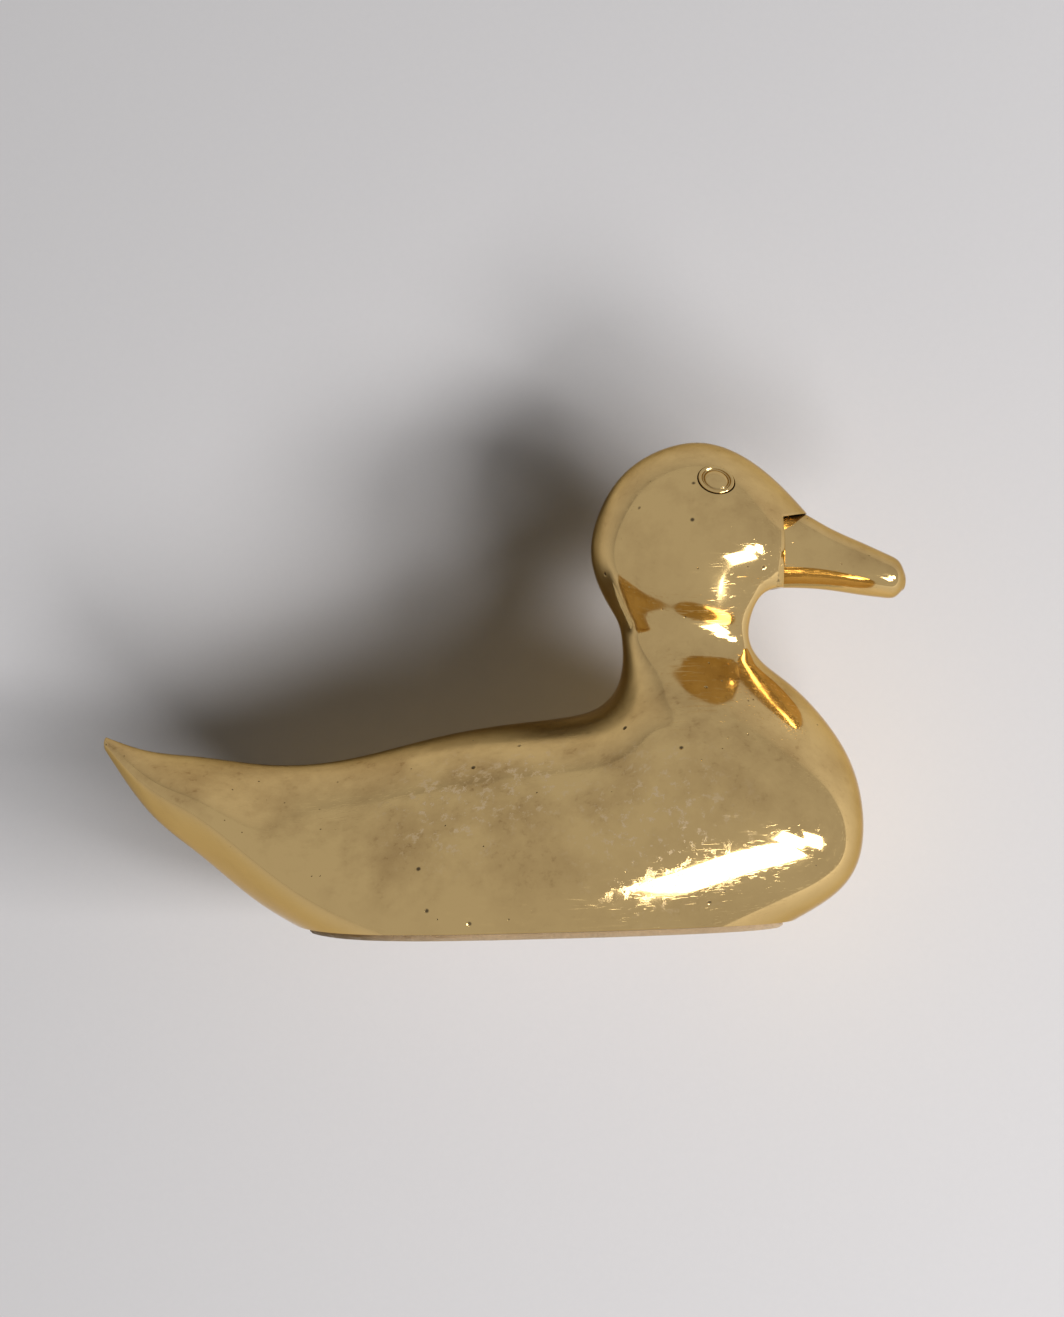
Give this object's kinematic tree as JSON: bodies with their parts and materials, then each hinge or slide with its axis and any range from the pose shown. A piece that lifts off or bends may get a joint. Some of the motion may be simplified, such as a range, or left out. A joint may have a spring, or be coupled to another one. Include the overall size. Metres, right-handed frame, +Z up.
{
  "type": "duck figurine",
  "caption": "Small polished hollow cast duck ornament with an upturned pointed tail, round head, inset bill and oval eyes, standing on a felt-covered flat base.",
  "frame": {"origin": "centre of the overall box at the underside of the felt pad", "axes": "+X the way the duck faces, +Y to its left, +Z up"},
  "size_m": [0.1, 0.0456, 0.0597],
  "materials": {
    "polished_brass": "polished, with light tarnish",
    "plate_brass": "as machined",
    "fixing_steel": "plain",
    "pad_felt": "felt"
  },
  "bodies": {
    "root": {"right_shell": "polished_brass", "left_shell": "polished_brass", "bill": "polished_brass", "right_eye": "polished_brass", "left_eye": "polished_brass", "tail_dowel": "fixing_steel", "breast_dowel": "fixing_steel", "base_plate": "plate_brass", "base_screw_right": "fixing_steel", "base_screw_left": "fixing_steel", "base_pad": "pad_felt"}
  },
  "joints": []
}
